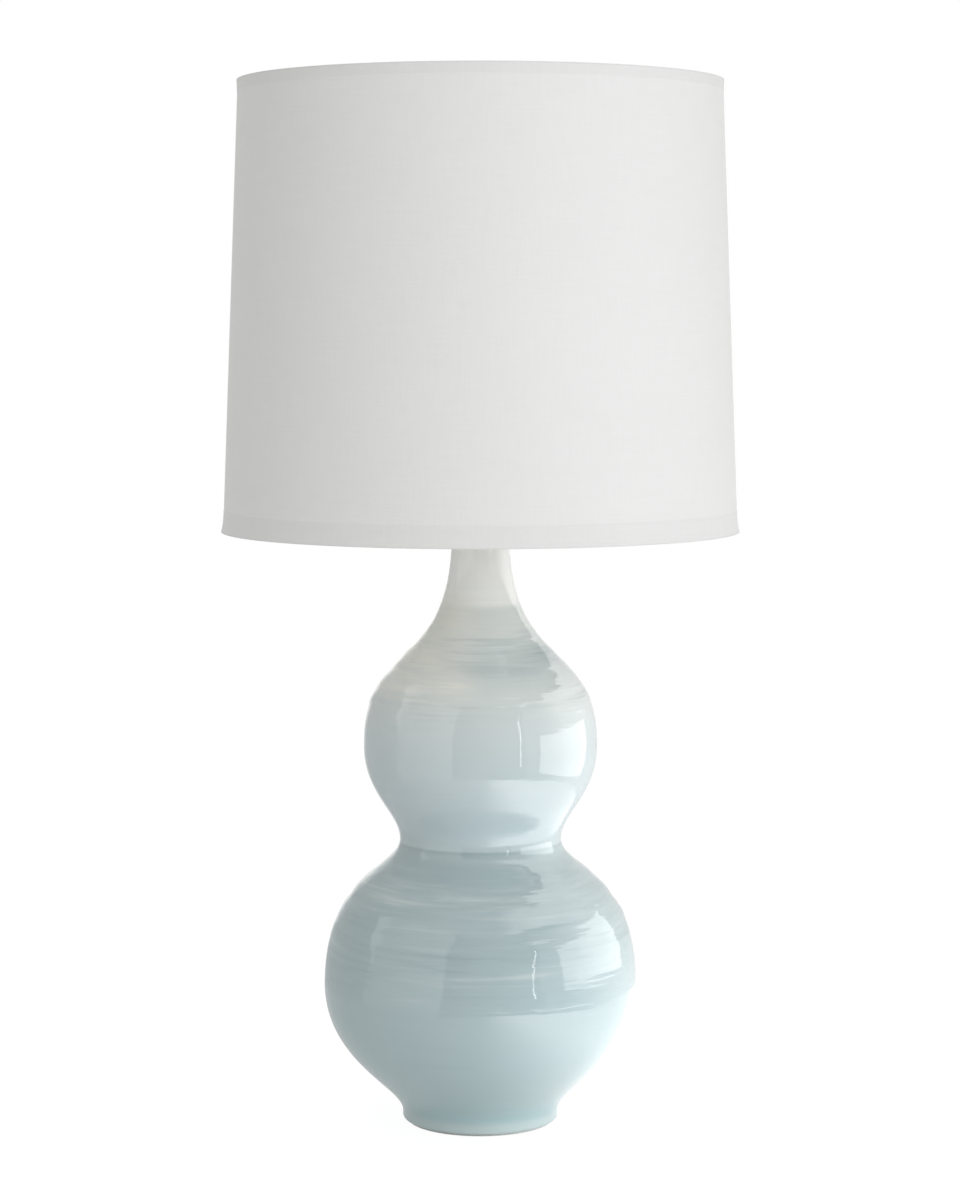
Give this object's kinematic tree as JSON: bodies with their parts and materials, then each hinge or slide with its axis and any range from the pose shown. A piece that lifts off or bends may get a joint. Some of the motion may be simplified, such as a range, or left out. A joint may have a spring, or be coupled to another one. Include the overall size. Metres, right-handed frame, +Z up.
{
  "type": "table lamp",
  "caption": "Table lamp with a double gourd base in pale glossy glaze, a tall slim neck and a large, slightly tapered white linen drum shade on a harp.",
  "frame": {"origin": "centre of the underside of the felt, on the surface that the lamp stands on", "axes": "+Z up along the axis of the base, -Y towards the front with the switch knob, +Y towards the inlet for the lead, +X to the right"},
  "size_m": [0.4317, 0.4318, 0.8709],
  "materials": {
    "felt": "dense wool felt, matte",
    "glaze": "pale ice-blue glossy glaze, paler and creamier on the neck",
    "grommet_rubber": "white soft rubber",
    "zinc_steel": "zinc-plated steel",
    "black_rubber": "matte black rubber",
    "brushed_nickel": "satin nickel on brass",
    "harp_nickel": "nickel-plated steel wire",
    "socket_nickel": "satin nickel on brass",
    "insulating_paper": "brown insulating paper",
    "phenolic": "black moulded phenolic",
    "terminal_nickel": "nickel-plated",
    "terminal_brass": "bright stamped brass",
    "knob_black": "black moulded plastic",
    "frosted_glass": "frosted white glass",
    "bulb_aluminium": "bare aluminium",
    "bulb_black_glass": "black glass",
    "bulb_solder": "dull solder",
    "linen": "ivory-white plain-weave linen",
    "styrene": "white styrene sheet",
    "white_wire": "white powder-coated steel wire"
  },
  "bodies": {
    "root": {"foot_felt": "felt", "lower_gourd": "glaze", "upper_gourd": "glaze", "gourd_neck": "glaze", "cord_grommet": "grommet_rubber", "lamp_pipe": "zinc_steel", "bottom_rubber_washer": "black_rubber", "bottom_steel_washer": "zinc_steel", "bottom_lock_washer": "zinc_steel", "bottom_hex_nut": "zinc_steel", "neck_gasket": "black_rubber", "neck_cap": "brushed_nickel", "neck_lock_nut": "brushed_nickel", "neck_tube": "brushed_nickel", "harp_saddle": "harp_nickel", "harp_leg_left": "harp_nickel", "harp_leg_right": "harp_nickel", "harp_top_plate": "harp_nickel", "socket_cap": "socket_nickel", "cap_set_screw": "zinc_steel", "socket_shell": "socket_nickel", "socket_insulator": "insulating_paper", "switch_body": "phenolic", "terminal_screw_left": "terminal_nickel", "terminal_screw_right": "terminal_brass", "screw_shell": "terminal_brass", "centre_contact": "terminal_brass"},
    "bulb_foot": {"bulb_contact": "bulb_solder"},
    "bulb": {"bulb_globe": "frosted_glass", "bulb_cap": "bulb_aluminium", "bulb_insulator": "bulb_black_glass"},
    "switch": {"switch_shaft": "zinc_steel", "switch_knob": "knob_black"},
    "sleeve_left": {"harp_sleeve_left": "harp_nickel"},
    "sleeve_right": {"harp_sleeve_right": "harp_nickel"},
    "stud": {"harp_stud": "harp_nickel"},
    "shade": {"shade_cover": "linen", "shade_liner": "styrene", "shade_top_ring": "white_wire", "shade_bottom_ring": "white_wire", "shade_top_hem": "linen", "shade_bottom_hem": "linen", "spider_washer": "white_wire", "spider_arm_1": "white_wire", "spider_arm_2": "white_wire", "spider_arm_3": "white_wire"},
    "finial_foot": {"finial_base": "brushed_nickel"},
    "finial": {"finial_knob": "brushed_nickel"}
  },
  "joints": [
    {"name": "switch_turn", "type": "hinge", "parent": "root", "child": "switch", "pos_m": [0, -0.02, 0.5716], "axis": [0, -1, 0], "continuous": true},
    {"name": "bulb_rise", "type": "slide", "parent": "root", "child": "bulb_foot", "axis": [0, 0, 1], "range_m": [0, 0.02]},
    {"name": "bulb_turn", "type": "hinge", "parent": "bulb_foot", "child": "bulb", "pos_m": [0, 0, 0.6], "axis": [0, 0, 1], "range_deg": [0, 1980]},
    {"name": "sleeve_left_slide", "type": "slide", "parent": "root", "child": "sleeve_left", "axis": [0, 0, 1], "range_m": [0, 0.012]},
    {"name": "sleeve_right_slide", "type": "slide", "parent": "root", "child": "sleeve_right", "axis": [0, 0, 1], "range_m": [0, 0.012]},
    {"name": "shade_turn", "type": "hinge", "parent": "root", "child": "stud", "pos_m": [0, 0, 0.85], "axis": [0, 0, 1], "continuous": true},
    {"name": "shade_lift", "type": "slide", "parent": "stud", "child": "shade", "axis": [0, 0, 1], "range_m": [0, 0.4]},
    {"name": "finial_rise", "type": "slide", "parent": "shade", "child": "finial_foot", "axis": [0, 0, 1], "range_m": [0, 0.0125]},
    {"name": "finial_turn", "type": "hinge", "parent": "finial_foot", "child": "finial", "pos_m": [0, 0, 0.86], "axis": [0, 0, 1], "range_deg": [0, 4680]}
  ],
  "couplings": [
    {"joint": "bulb_rise", "follows": "bulb_turn", "m_per_rad": 0.00057757},
    {"joint": "finial_rise", "follows": "finial_turn", "m_per_rad": 0.00014977}
  ]
}
